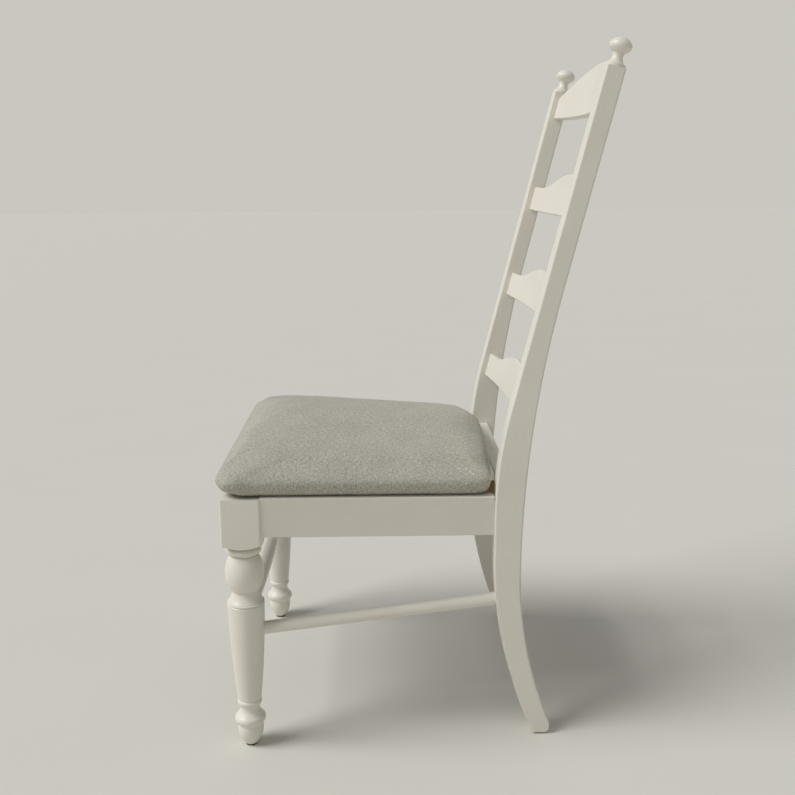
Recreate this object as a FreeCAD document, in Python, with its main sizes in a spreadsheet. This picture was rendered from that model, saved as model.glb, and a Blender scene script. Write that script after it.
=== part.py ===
import FreeCAD, Part
import math
import os
import re
import Sketcher
from FreeCAD import Placement, Rotation, Vector

os.makedirs("parts", exist_ok=True)
doc = FreeCAD.newDocument("ladderback_chair")

# Driving dimensions, in millimetres and degrees.
# The chair faces -Y and stands on Z = 0. A "reach" is a distance behind the front legs' axes,
# and a "drop" or "rise" is measured from the seat height or from the front leg's square.
SIZES = {
    # Plan of the legs
    "front_half": "241",
    "rear_half": "214",
    "rear_face_reach": "381.5",
    # Seat frame
    "seat_height": "412",
    "seat_rake": "2.6",
    "rail_height": "61",
    "rail_thick": "22",
    "rail_inset": "3",
    "rail_easing": "1.5",
    "rear_rail_thick": "24",
    "rear_rail_reach": "390",
    "rear_rail_drop": "3",
    "rear_rail_height": "76",
    # Front leg
    "foot_lift": "3",
    "block_side": "60",
    "block_height": "79",
    "block_easing": "3",
    "block_arch": "7",
    "leg_top_drop": "3",
    "toe_radius": "9.5",
    "cup_radius": "19.8",
    "cup_top": "35.5",
    "cup_side_radius": "17.2",
    "cup_side_height": "15",
    "collar_radius": "24.2",
    "collar_height": "45.5",
    "collar_half": "6.5",
    "collar_edge_radius": "20.8",
    "ankle_radius": "15.6",
    "ankle_height": "62.5",
    "ankle_half": "7.5",
    "ankle_edge_radius": "17.6",
    "ring_radius": "19.2",
    "ring_height": "74",
    "ring_half": "3.6",
    "shaft_low_radius": "18.3",
    "shaft_mid_radius": "25.2",
    "shaft_top_radius": "28.4",
    "shaft_drop": "94",
    "quirk": "1",
    "disc_height": "4",
    "flare_drop": "88",
    "flare_radius": "26.6",
    "flare_mid_drop": "81",
    "flare_mid_radius": "22.2",
    "neck_drop": "73",
    "neck_radius": "20.3",
    "ball_drop": "43",
    "ball_half": "27.2",
    "ball_radius": "29.8",
    "ball_end_radius": "22.2",
    "bead_drop": "7.2",
    "bead_half": "5.4",
    "bead_radius": "27",
    "bead_end_radius": "23",
    # Rear leg, a flat board sawn to a bent outline
    "lean": "14.4",
    "post_width": "30",
    "post_depth": "28.4",
    "post_seat_depth": "41.7",
    "post_easing": "3",
    "post_rise": "610.6",
    "bend_rise": "32",
    "front_bend_radius": "665",
    "back_bend_radius": "1780",
    "sabre_drop": "112",
    "sabre_front_radius": "724",
    "sabre_back_radius": "645",
    "heel_height": "22",
    "heel_cut": "5",
    # Finial
    "finial_base_radius": "14.6",
    "finial_base_height": "4",
    "finial_neck_radius": "7.6",
    "finial_neck_height": "15.6",
    "finial_cone_radius": "9.6",
    "finial_cone_height": "8.5",
    "finial_ball_radius": "16.5",
    "finial_ball_half": "12",
    "finial_ball_height": "29.5",
    "finial_edge_radius": "7",
    "finial_pin_radius": "5",
    "finial_pin_length": "11",
    # Slats, measured along the lean
    "slat_thick": "14",
    "slat_bow": "21.6",
    "slat_set_back": "8.6",
    "slat_tenon": "12",
    "slat_easing": "2",
    "slat_end_height": "42.1",
    "slat_hump": "26.7",
    "slat_shoulder": "172",
    "slat_turnover": "107",
    "crest_end_height": "32",
    "crest_arch": "49.9",
    "lower_slat_rise": "91.5",
    "middle_slat_rise": "244.5",
    "upper_slat_rise": "400.7",
    "crest_rise": "562",
    # Stretchers
    "stretcher_stop": "8",
    "side_stretcher_radius": "10",
    "side_stretcher_front": "191.6",
    "side_stretcher_rear": "228",
    "side_stretcher_reach": "402",
    "front_stretcher_height": "215",
    "front_stretcher_radius": "16",
    "front_stretcher_end": "10",
    # Dowels, corner blocks and screws
    "dowel_radius": "5",
    "dowel_depth": "20",
    "dowel_margin": "15",
    "dowel_relief": "0.5",
    "rear_dowel_depth": "17",
    "corner_block_gap": "3",
    "corner_block_height": "30",
    "front_block_width": "61",
    "front_block_length": "60",
    "rear_block_width": "75",
    "rear_block_length": "85",
    "screw_radius": "2.2",
    "screw_head_radius": "4.2",
    "screw_head_height": "2.6",
    "screw_bite": "12",
    "screw_seat": "14",
    "sink_radius": "5.5",
    "sink_length": "40",
    "screw_inset": "30",
    "rear_screw_inset": "34",
    "rear_side_screw_inset": "51.5",
    "seat_screw_inset": "8",
    "seat_screw_reach": "25",
    "rear_seat_screw_inset": "10",
    "rear_seat_screw_reach": "38",
    "seat_screw_bite": "9",
    # Seat
    "seat_lift": "1.3",
    "seat_front_reach": "41",
    "seat_bulge_rise": "15",
    "seat_front_overhang": "7",
    "seat_rear_overhang": "2",
    "seat_rear_gap": "1",
    "seat_post_gap": "2",
    "seat_front_corner": "34",
    "seat_rear_corner": "14",
    # Share of its reach that a corner's curve stays inside the sharp corner
    "corner_fullness": "0.3",
    "cover_thick": "1.5",
    "cover_return": "32",
    "board_thick": "12",
    "board_inset": "18",
    "dust_cover_thick": "0.8",
    "dust_cover_inset": "40",
    "staple_inset": "43",
    "staple_crown": "10",
    "staple_wire": "0.8",
    "staple_leg": "6",
    # Glides
    "glide_radius": "8.5",
    "glide_pin_radius": "1.3",
    "glide_pin_length": "14",
}

# The seat's outlines, from the bottom up: height over the rails, how far the front, the sides and
# the rear are drawn in, and how far the front and rear corners reach along their sides.
SEAT_LEVELS = [
    ("seat_lift", "16", "16", "3", "44", "16"),
    ("4.5", "5", "5", "1", "37", "15"),
    ("seat_bulge_rise", "0", "0", "0", "seat_front_corner", "seat_rear_corner"),
    ("31", "5", "11", "1", "44", "20"),
    ("46", "20", "45", "4", "60", "34"),
    ("62", "38", "105", "10", "84", "56"),
    ("75", "57", "160", "20", "85", "56"),
    ("82", "80", "200", "38", "60", "27"),
    ("84.5", "112", "222", "66", "42", "12"),
]

# Sizes that follow from others.
DERIVED = {
    "front_leg_top": "=seat_height - leg_top_drop",
    "block_bottom": "=front_leg_top - block_height",
    "block_half": "=block_side / 2",
    "shaft_top": "=block_bottom - shaft_drop",
    "front_outer": "=front_half + block_half - rail_inset",
    "rear_outer": "=rear_half + post_width / 2 - rail_inset",
    "rail_slope": "=(front_outer - rear_outer) / (rear_face_reach - block_half)",
    "rail_width": "=rail_thick * sqrt(1 + rail_slope^2)",
    "rake_slope": "=tan(seat_rake * 1deg)",
    "rear_rail_top": "=seat_height - rear_rail_drop",
    "post_inner": "=rear_half - post_width / 2",
    "block_inner": "=front_half - block_half",
    # Front edge of the post: a line that leans, an upright line and a sabre arc
    "lean_slope": "=tan(lean * 1deg)",
    "lean_start": "=rear_face_reach - (seat_height + bend_rise) * lean_slope",
    "post_front_height": "=seat_height + post_rise",
    "post_front_reach": "=lean_start + post_front_height * lean_slope",
    "front_bend": "=front_bend_radius * tan(lean / 2 * 1deg)",
    "sabre_height": "=seat_height - sabre_drop",
    "toe_reach": "=rear_face_reach + sabre_front_radius"
                 " - sqrt(sabre_front_radius^2 - (sabre_height - foot_lift)^2)",
    # Back edge of the post
    "post_back_reach": "=post_front_reach + post_depth * cos(lean * 1deg)",
    "post_back_height": "=post_front_height - post_depth * sin(lean * 1deg)",
    "seat_back_reach": "=rear_face_reach + post_seat_depth",
    "back_corner": "=post_back_height - (post_back_reach - seat_back_reach) / lean_slope",
    "back_bend": "=back_bend_radius * tan(lean / 2 * 1deg)",
    "sabre_back_height": "=back_corner - back_bend",
    "heel_reach": "=seat_back_reach + sabre_back_radius"
                  " - sqrt(sabre_back_radius^2 - (sabre_back_height - heel_height)^2)",
    # Slat outlines
    "slat_half": "=post_inner + slat_tenon",
    "turnover_rise": "=slat_hump * (1 - slat_turnover / slat_shoulder)",
    "hollow_radius": "=((slat_shoulder - slat_turnover)^2 + turnover_rise^2) / (2 * turnover_rise)",
    # Cushion sides
    "seat_front_half": "=front_outer + seat_front_overhang",
    "seat_rear_half": "=rear_outer + seat_rear_overhang",
    "seat_slope": "=(seat_front_half - seat_rear_half) / (rear_face_reach - block_half)",
    "seat_rear_reach": "=rear_face_reach - seat_post_gap",
    # Finial: where the ball's flat caps meet its rounder edge
    "finial_cap_radius": "=((finial_ball_radius - finial_edge_radius)^2 + finial_ball_half^2"
                         " - finial_edge_radius^2) / (2 * (finial_ball_half - finial_edge_radius))",
    "finial_cap_share": "=finial_cap_radius / (finial_cap_radius - finial_edge_radius)",
    "finial_edge_reach": "=(finial_ball_radius - finial_edge_radius) * finial_cap_share",
    "finial_edge_rise": "=(finial_cap_radius - finial_ball_half) * (finial_cap_share - 1)",
    "finial_foot_drop": "=sqrt(finial_cap_radius^2 - (finial_neck_radius + quirk)^2)"
                        " - finial_cap_radius + finial_ball_half",
    # The origin is midway between the cushion's front and the back of the crest slat's arch
    "crest_reach": "=lean_start + (seat_height + crest_rise) * lean_slope"
                   " + slat_set_back / cos(lean * 1deg) + slat_easing"
                   " + (slat_bow + slat_thick - slat_easing) * cos(lean * 1deg)"
                   " + (crest_end_height + crest_arch - slat_easing) * sin(lean * 1deg)",
    "bulge_reach": "=seat_front_reach * cos(seat_rake * 1deg) - seat_bulge_rise * sin(seat_rake * 1deg)",
    "front_leg_y": "=(bulge_reach - crest_reach) / 2",
}

sheet = doc.addObject("Spreadsheet::Sheet", "dims")
NAMES = {**SIZES, **DERIVED}
for row, (alias, text) in enumerate(NAMES.items(), start=1):
    sheet.set(f"A{row}", alias.replace("_", " "))
    sheet.set(f"B{row}", text)
    sheet.setAlias(f"B{row}", alias)
doc.recompute()


# Formulas
def bound(formula):
    """The formula as another object reads it: each name with its sheet."""
    return re.sub(r"[a-z][a-z_]+", lambda word: "dims." * (word[0] in NAMES) + word[0], formula)


def value(formula):
    return float(sheet.evalExpression(bound(formula)))


LEAN = Rotation(Vector(1, 0, 0), -value("lean"))
RAKE = Rotation(Vector(1, 0, 0), -value("seat_rake"))
UPRIGHT = Rotation()


# Sketches and features
def new_body(label):
    body = doc.addObject("PartDesign::Body", label)
    body.Label = label
    return body


def new_sketch(body, role, height="0"):
    """An empty sketch on one of the body's planes, or at a height over it."""
    sketch = body.newObject("Sketcher::SketchObject", body.Label + "_outline")
    plane = next(part for part in body.Origin.OriginFeatures if part.Role == role)
    sketch.AttachmentSupport = (plane, [""])
    sketch.MapMode = "FlatFace"
    sketch.setExpression("AttachmentOffset.Base.z", bound(height))
    return sketch


def middle_of_arc(start, end, radius):
    """A point half way along an arc that bulges to the right of its way, or left under zero."""
    half = (end - start) * 0.5
    rise = abs(radius) - math.sqrt(radius ** 2 - half.Length ** 2)
    right = Vector(half.y, -half.x, 0).normalize()
    return start + half + right * math.copysign(rise, radius)


def rule_point(sketch, number, end, x, y, rules):
    """Holds one point of a sketch at two formulas."""
    for kind, formula, axis in (("DistanceX", x, -2), ("DistanceY", y, -1)):
        if formula == "0":
            rules.append((Sketcher.Constraint("PointOnObject", number, end, axis), None))
        else:
            rule = Sketcher.Constraint(kind, -1, 1, number, end, value(formula))
            rules.append((rule, bound(formula)))


def outline(body, role, points, height="0"):
    """A closed outline. A point is (x, y), or (x, y, bend) where an arc leads to it.

    The bend is a point that the arc passes, or the arc's radius: over zero where the outline,
    drawn counterclockwise, is round, and under zero where it is hollow.
    """
    sketch = new_sketch(body, role, height)
    corners = [Vector(value(x), value(y), 0) for x, y, *bend in points]
    ends = []
    rules = []
    for index, (x, y, *bend) in enumerate(points):
        here, there = corners[index - 1], corners[index]
        if not bend:
            number = sketch.addGeometry(Part.LineSegment(here, there), False)
            ends.append((number, 1, 2))
        else:
            passing = bend[0]
            if isinstance(passing, tuple):
                via = Vector(value(passing[0]), value(passing[1]), 0)
            else:
                via = middle_of_arc(here, there, value(passing))
            if (via - here).cross(there - via).z > 0:
                number = sketch.addGeometry(Part.Arc(here, via, there), False)
                ends.append((number, 1, 2))
            else:
                number = sketch.addGeometry(Part.Arc(there, via, here), False)
                ends.append((number, 2, 1))
            if isinstance(passing, tuple):
                mark = sketch.addGeometry(Part.Point(via), True)
                rules.append((Sketcher.Constraint("PointOnObject", mark, 1, number), None))
                rule_point(sketch, mark, 1, *passing, rules)
            else:
                rule = Sketcher.Constraint("Radius", number, abs(value(passing)))
                rules.append((rule, bound(f"abs({passing})")))
    for (before, _, last), (number, first, _) in zip(ends[-1:] + ends[:-1], ends):
        rules.append((Sketcher.Constraint("Coincident", before, last, number, first), None))
    for (number, _, last), (x, y, *bend) in zip(ends, points):
        rule_point(sketch, number, last, x, y, rules)
    sketch.addConstraint([rule for rule, formula in rules])
    for index, (rule, formula) in enumerate(rules):
        if formula:
            sketch.setExpression(f"Constraints[{index}]", formula)
    doc.recompute()
    return sketch


def pad(body, sketch, length, both_ways=False):
    feature = body.newObject("PartDesign::Pad", body.Label + "_pad")
    feature.Profile = sketch
    feature.Midplane = both_ways
    feature.setExpression("Length", bound(length))
    doc.recompute()


def pocket(body, sketch):
    """Cuts right through, both ways, and makes sure that something was cut."""
    before = body.Shape.Volume
    feature = body.newObject("PartDesign::Pocket", body.Label + "_pocket")
    feature.Profile = sketch
    feature.Type = "ThroughAll"
    feature.Midplane = True
    doc.recompute()
    if not body.Shape.Volume < before - 1:
        raise RuntimeError(body.Label + ": the pocket cut nothing")


def turn(body, sketch, axis):
    feature = body.newObject("PartDesign::Revolution", body.Label + "_turning")
    feature.Profile = sketch
    feature.ReferenceAxis = (sketch, [axis])
    feature.Angle = 360
    doc.recompute()


def ease(body, radius, wanted):
    """Rounds the edges that the test picks."""
    base = body.Tip
    names = [f"Edge{n}" for n, edge in enumerate(base.Shape.Edges, start=1) if wanted(edge)]
    feature = body.newObject("PartDesign::Fillet", body.Label + "_easing")
    feature.Base = (base, names)
    feature.setExpression("Radius", bound(radius))
    doc.recompute()


# Placing, joining and cutting
def place(thing, x="0", y="0", z="0", rotation=UPRIGHT):
    thing.Placement = Placement(Vector(), rotation)
    for axis, formula in (("x", x), ("y", y), ("z", z)):
        thing.setExpression("Placement.Base." + axis, bound(formula))


def bar(label, radius, middle, axis, behind, ahead):
    """A round bar along an axis through a point, reaching so far behind it and ahead of it."""
    thing = doc.addObject("Part::Cylinder", label)
    thing.Label = label
    thing.setExpression("Radius", bound(radius))
    thing.setExpression("Height", bound(f"({behind}) + ({ahead})"))
    start = [f"{point} - ({behind}) * {step}" for point, step in zip(middle, axis)]
    place(thing, *start, Rotation(Vector(0, 0, 1), Vector(*axis)))
    return thing


def group(kind, label, pieces):
    thing = doc.addObject(kind, label)
    thing.Label = label
    setattr(thing, "Links" if kind == "Part::Compound" else "Shapes", pieces)
    return thing


def cut(label, base, tools):
    thing = doc.addObject("Part::Cut", label)
    thing.Label = label
    thing.Base = base
    thing.Tool = group("Part::MultiFuse", label + "_holes", tools) if len(tools) > 1 else tools[0]
    return thing


def mirrored(label, source):
    thing = doc.addObject("Part::Mirroring", label)
    thing.Label = label
    thing.Source = source
    thing.Normal = Vector(1, 0, 0)
    return thing


def with_mirrors(pieces):
    return pieces + [mirrored(piece.Label + "_twin", piece) for piece in pieces]


def reach(formula):
    """The chair's Y of a place that lies so far behind the front legs' axes."""
    return f"front_leg_y + ({formula})"


def rail_inner(y):
    """Where the side rail's inner face is, that far behind the front legs' axes."""
    return f"front_outer - rail_slope * ({y} - block_half) - rail_width"


# Front leg: a square blank, turned below the seat frame
def front_leg_blank():
    square = new_body("front_leg_square")
    half = "block_side / 2"
    corners = [(f"-{half}", f"-{half}"), (half, f"-{half}"), (half, half), (f"-{half}", half)]
    pad(square, outline(square, "XY_Plane", corners), "front_leg_top")
    ease(square, "block_easing", lambda edge: edge.BoundBox.ZLength > 1)

    turned = new_body("front_leg_turned")
    corner = "block_half * sqrt(2)"
    profile = [
        ("0", "foot_lift"),
        ("toe_radius", "foot_lift"),
        # Cup
        ("cup_radius", "cup_top", ("cup_side_radius", "cup_side_height")),
        # Collar
        ("collar_edge_radius", "collar_height - collar_half"),
        ("collar_edge_radius", "collar_height + collar_half", ("collar_radius", "collar_height")),
        ("ankle_edge_radius + quirk", "ankle_height - ankle_half"),
        # Cove
        ("ankle_edge_radius", "ankle_height + ankle_half", ("ankle_radius", "ankle_height")),
        # Small ring
        ("ankle_edge_radius", "ring_height - ring_half"),
        ("ankle_edge_radius", "ring_height + ring_half", ("ring_radius", "ring_height")),
        # Tapered shaft, a little fuller in its middle
        ("shaft_low_radius", "ring_height + ring_half + quirk"),
        ("shaft_top_radius", "shaft_top",
         ("shaft_mid_radius", "(shaft_top + ring_height + ring_half + quirk) / 2")),
        # Groove and disc
        ("shaft_top_radius - quirk", "shaft_top + quirk"),
        ("shaft_top_radius", "shaft_top + 2 * quirk"),
        ("shaft_top_radius", "shaft_top + disc_height"),
        ("flare_radius", "shaft_top + disc_height + quirk"),
        # Neck
        ("flare_radius", "block_bottom - flare_drop"),
        ("neck_radius", "block_bottom - neck_drop",
         ("flare_mid_radius", "block_bottom - flare_mid_drop")),
        ("neck_radius", "block_bottom - ball_drop - ball_half - quirk"),
        # Ball
        ("ball_end_radius", "block_bottom - ball_drop - ball_half"),
        ("ball_end_radius", "block_bottom - ball_drop + ball_half",
         ("ball_radius", "block_bottom - ball_drop")),
        ("neck_radius", "block_bottom - ball_drop + ball_half + quirk"),
        # Bead
        ("neck_radius", "block_bottom - bead_drop - bead_half - quirk"),
        ("bead_end_radius", "block_bottom - bead_drop - bead_half"),
        ("bead_end_radius", "block_bottom - bead_drop + bead_half",
         ("bead_radius", "block_bottom - bead_drop")),
        ("neck_radius + quirk", "block_bottom - quirk"),
        # Rounded underside of the square, which leaves arches on its faces
        ("bead_radius", "block_bottom"),
        (corner, "block_bottom + block_arch", "-block_side"),
        (corner, "front_leg_top"),
        ("0", "front_leg_top"),
    ]
    turn(turned, outline(turned, "XZ_Plane", profile), "V_Axis")

    blank = group("Part::MultiCommon", "front_leg_blank", [square, turned])
    place(blank, "front_half", "front_leg_y")
    return blank


# Rear leg: foot, post and lean sawn from one board
def rear_leg_blank():
    post = new_body("rear_leg_blank")
    across, along = "cos(lean * 1deg)", "sin(lean * 1deg)"
    edge = [
        ("toe_reach", "foot_lift"),
        ("heel_reach - heel_cut", "foot_lift"),
        ("heel_reach", "foot_lift + heel_cut"),
        ("heel_reach", "heel_height"),
        ("seat_back_reach", "sabre_back_height", "-sabre_back_radius"),
        (f"seat_back_reach + back_bend * {along}", f"back_corner + back_bend * {across}",
         "-back_bend_radius"),
        ("post_back_reach", "post_back_height"),
        ("post_front_reach", "post_front_height"),
        (f"rear_face_reach + front_bend * {along}",
         f"seat_height + bend_rise + front_bend * {across}"),
        ("rear_face_reach", "seat_height + bend_rise - front_bend", "front_bend_radius"),
        ("rear_face_reach", "sabre_height"),
    ]
    edge[0] += ("sabre_front_radius",)
    pad(post, outline(post, "YZ_Plane", edge), "post_width", both_ways=True)
    half, long_edge = value("post_width / 2"), value("post_depth * 2")
    ease(post, "post_easing", lambda edge: edge.BoundBox.XLength < 1e-3 and edge.Length > long_edge
         and abs(abs(edge.BoundBox.XMax) - half) < 1e-3)
    place(post, "rear_half", "front_leg_y")
    return post


# Slats: bowed boards between the posts, set back from their front faces
def slat(label, rise, top):
    """A bowed board with the given top edge, drawn from the right end to the left."""
    board = new_body(label)
    past = "slat_half + slat_thick"
    depth = "slat_bow + slat_thick"
    face = [("-slat_half", "0"), ("slat_half", "0")] + top
    pad(board, outline(board, "XZ_Plane", face), f"3 * ({depth})", both_ways=True)
    before_it = [(f"-({past})", "0"), (f"-({past})", f"-2 * ({depth})"),
                 (past, f"-2 * ({depth})"), (past, "0"), ("slat_half", "0"),
                 ("-slat_half", "0", ("0", "slat_bow"))]
    behind_it = [("slat_half", "slat_thick"), (past, "slat_thick"), (past, f"2 * ({depth})"),
                 (f"-({past})", f"2 * ({depth})"), (f"-({past})", "slat_thick"),
                 ("-slat_half", "slat_thick")]
    behind_it[0] += (("0", "slat_bow + slat_thick"),)
    pocket(board, outline(board, "XY_Plane", before_it))
    pocket(board, outline(board, "XY_Plane", behind_it))
    ease(board, "slat_easing", lambda edge: edge.BoundBox.XLength > 1)
    height = f"(seat_height + {rise})"
    place(board, "0", reach(f"lean_start + {height} * lean_slope + slat_set_back / cos(lean * 1deg)"),
          height, LEAN)
    return board


def slats():
    end, turnover = "slat_end_height", "slat_end_height + turnover_rise"
    humped = [
        ("slat_half", end),
        ("slat_shoulder", end),
        ("slat_turnover", turnover, "-hollow_radius"),
        ("-slat_turnover", turnover, ("0", "slat_end_height + slat_hump")),
        ("-slat_shoulder", end, "-hollow_radius"),
        ("-slat_half", end),
    ]
    arched = [
        ("slat_half", "crest_end_height"),
        ("-slat_half", "crest_end_height", ("0", "crest_end_height + crest_arch")),
    ]
    return [
        slat("crest_slat", "crest_rise", arched),
        slat("upper_slat", "upper_slat_rise", humped),
        slat("middle_slat", "middle_slat_rise", humped),
        slat("lower_slat", "lower_slat_rise", humped),
    ]


# Finial: turned on its own pin, which stands in the post's top
def finial():
    turned = new_body("finial_left")
    ball = "finial_ball_height"
    profile = [
        ("0", "-finial_pin_length"),
        ("finial_pin_radius", "-finial_pin_length"),
        ("finial_pin_radius", "0"),
        ("finial_base_radius", "0"),
        ("finial_base_radius", "finial_base_height"),
        ("finial_neck_radius", "finial_neck_height", ("finial_cone_radius", "finial_cone_height")),
        # Ball: two caps with a rounder edge between them
        ("finial_neck_radius + quirk", f"{ball} - finial_foot_drop"),
        ("finial_edge_reach", f"{ball} - finial_edge_rise", "finial_cap_radius"),
        ("finial_edge_reach", f"{ball} + finial_edge_rise", ("finial_ball_radius", ball)),
        ("0", f"{ball} + finial_ball_half", "finial_cap_radius"),
    ]
    turn(turned, outline(turned, "XZ_Plane", profile), "V_Axis")
    place(turned, "rear_half", reach("(post_front_reach + post_back_reach) / 2"),
          "(post_front_height + post_back_height) / 2", LEAN)
    return turned


# Seat frame rails
def front_rail_blank():
    rail = new_body("front_rail_blank")
    front = "-(block_half - rail_inset)"
    plan = [("-block_inner", front), ("block_inner", front),
            ("block_inner", f"{front} + rail_thick"), ("-block_inner", f"{front} + rail_thick")]
    pad(rail, outline(rail, "XY_Plane", plan, "seat_height - rail_height"), "rail_height")
    ease(rail, "rail_easing", lambda edge: edge.BoundBox.XLength > 1)
    place(rail, "0", "front_leg_y")
    return rail


def rear_rail_blank():
    rail = new_body("rear_rail_blank")
    front, back = "rear_rail_reach", "rear_rail_reach + rear_rail_thick"
    plan = [("-post_inner", front), ("post_inner", front), ("post_inner", back), ("-post_inner", back)]
    pad(rail, outline(rail, "XY_Plane", plan, "rear_rail_top - rear_rail_height"), "rear_rail_height")
    ease(rail, "rail_easing", lambda edge: edge.BoundBox.XLength > 1)
    place(rail, "0", "front_leg_y")
    return rail


def side_rail_blank():
    """Its plan narrows the seat to the back, and its edges fall with the seat."""
    rail = new_body("side_rail_blank")
    rear_inner = rail_inner("rear_face_reach")
    plan = [("front_outer", "block_half"), ("rear_outer", "rear_face_reach"),
            (rear_inner, "rear_face_reach"), ("front_outer - rail_width", "block_half")]
    stock = "2 * rail_height"
    pad(rail, outline(rail, "XY_Plane", plan, f"seat_height - {stock}"), stock)
    for edge, waste in (("seat_height", "rail_height"), ("seat_height - rail_height", "-rail_height")):
        fall = "2 * rear_face_reach * rake_slope"
        side = [("-rear_face_reach", f"{edge} + {fall} / 2"),
                ("rear_face_reach", f"{edge} - {fall} / 2"),
                ("rear_face_reach", f"{edge} - {fall} / 2 + {waste}"),
                ("-rear_face_reach", f"{edge} + {fall} / 2 + {waste}")]
        pocket(rail, outline(rail, "YZ_Plane", side))
    ease(rail, "rail_easing", lambda edge: edge.BoundBox.YLength > 1)
    place(rail, "0", "front_leg_y")
    return rail


# Dowels, each with its longer hole
def dowel(label, middle, axis, behind, ahead):
    pin = bar(label, "dowel_radius", middle, axis, behind, ahead)
    hole = bar(label + "_hole", "dowel_radius", middle, axis,
               f"{behind} + dowel_relief", f"{ahead} + dowel_relief")
    return pin, hole


def rail_dowels():
    """Left side dowels of the front, side and rear rails, as (pins, holes) of each joint."""
    joints = {}
    front_y = reach("rail_thick / 2 + rail_inset - block_half")
    rear_y = reach("rear_rail_reach + rear_rail_thick / 2")
    rear_x = "rear_outer - rail_width / 2"
    for joint, x, y, axis, top, behind, ahead in (
            ("front", "block_inner", front_y, (1, 0, 0), "seat_height", "dowel_depth", "dowel_depth"),
            ("side_front", "front_outer - rail_width / 2", reach("block_half"), (0, 1, 0),
             "seat_height - block_half * rake_slope", "dowel_depth", "dowel_depth"),
            ("side_rear", rear_x, reach("rear_face_reach"), (0, 1, 0),
             "seat_height - rear_face_reach * rake_slope", "dowel_depth", "dowel_depth"),
            ("rear", "post_inner", rear_y, (1, 0, 0), "rear_rail_top",
             "dowel_depth", "rear_dowel_depth")):
        pairs = [dowel(f"{joint}_{level}_dowel", (x, y, f"{top} - {drop}"), axis, behind, ahead)
                 for level, drop in (("high", "dowel_margin"), ("low", "(rail_height - dowel_margin)"))]
        joints[joint] = ([pin for pin, hole in pairs], [hole for pin, hole in pairs])
    return joints


# Screws: a shank and a head, and the wider hole that sinks the head
def screw(label, face, axis, thickness, bite):
    """A screw through a face, with its head so far behind the face and its tip so far past it."""
    shank = bar(label + "_shank", "screw_radius", face, axis, thickness, bite)
    head = bar(label + "_head", "screw_head_radius", face, axis,
               f"{thickness} + screw_head_height", f"-({thickness})")
    sink = bar(label + "_sink", "sink_radius", face, axis,
               f"{thickness} + sink_length", f"-({thickness})")
    return group("Part::MultiFuse", label, [shank, head]), sink


def corner_block(label, corners, top):
    block = new_body(label)
    pad(block, outline(block, "XY_Plane", corners, f"{top} - corner_block_height"),
        "corner_block_height")
    place(block, "0", "front_leg_y")
    return block


def front_block_blank():
    front = "rail_thick + rail_inset - block_half"
    rear = "block_half + front_block_length"
    corners = [("block_inner - front_block_width", front), ("block_inner", front),
               ("block_inner", "block_half"), ("front_outer - rail_width", "block_half"),
               (rail_inner(rear), rear)]
    return corner_block("front_block_blank", corners,
                        f"seat_height - ({rear}) * rake_slope - corner_block_gap")


def rear_block_blank():
    front = "rear_rail_reach - rear_block_length"
    corners = [("post_inner - rear_block_width", "rear_rail_reach"), (rail_inner(front), front),
               (rail_inner("rear_face_reach"), "rear_face_reach"),
               ("post_inner", "rear_face_reach"), ("post_inner", "rear_rail_reach")]
    return corner_block("rear_block_blank", corners,
                        "seat_height - rear_rail_reach * rake_slope - corner_block_gap")


# Stretchers
def side_stretcher():
    """A plain rod that rises to the back, stopped in blind holes."""
    start = ("front_half", "0", "side_stretcher_front")
    end = ("rear_half", "side_stretcher_reach", "side_stretcher_rear")
    way = [f"({b} - {a})" for a, b in zip(start, end)]
    long = f"sqrt({way[0]}^2 + {way[1]}^2 + {way[2]}^2)"
    rod = doc.addObject("Part::Cylinder", "side_stretcher_left")
    rod.Label = "side_stretcher_left"
    rod.setExpression("Radius", bound("side_stretcher_radius"))
    rod.setExpression("Height", bound(f"{long} - stretcher_stop"))
    first = [f"{a} + {step} / {long} * stretcher_stop" for a, step in zip(start, way)]
    direction = Vector(*(value(step) for step in way))
    place(rod, first[0], reach(first[1]), first[2], Rotation(Vector(0, 0, 1), direction))
    return rod


def front_stretcher():
    """Turned with a long swell, stopped in blind holes."""
    rod = new_body("front_stretcher")
    end = "front_half - stretcher_stop"
    profile = [(f"-({end})", "0"), (end, "0"), (end, "front_stretcher_end"),
               (f"-({end})", "front_stretcher_end", ("0", "front_stretcher_radius"))]
    turn(rod, outline(rod, "XZ_Plane", profile), "H_Axis")
    place(rod, "0", "front_leg_y", "front_stretcher_height")
    return rod


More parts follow.
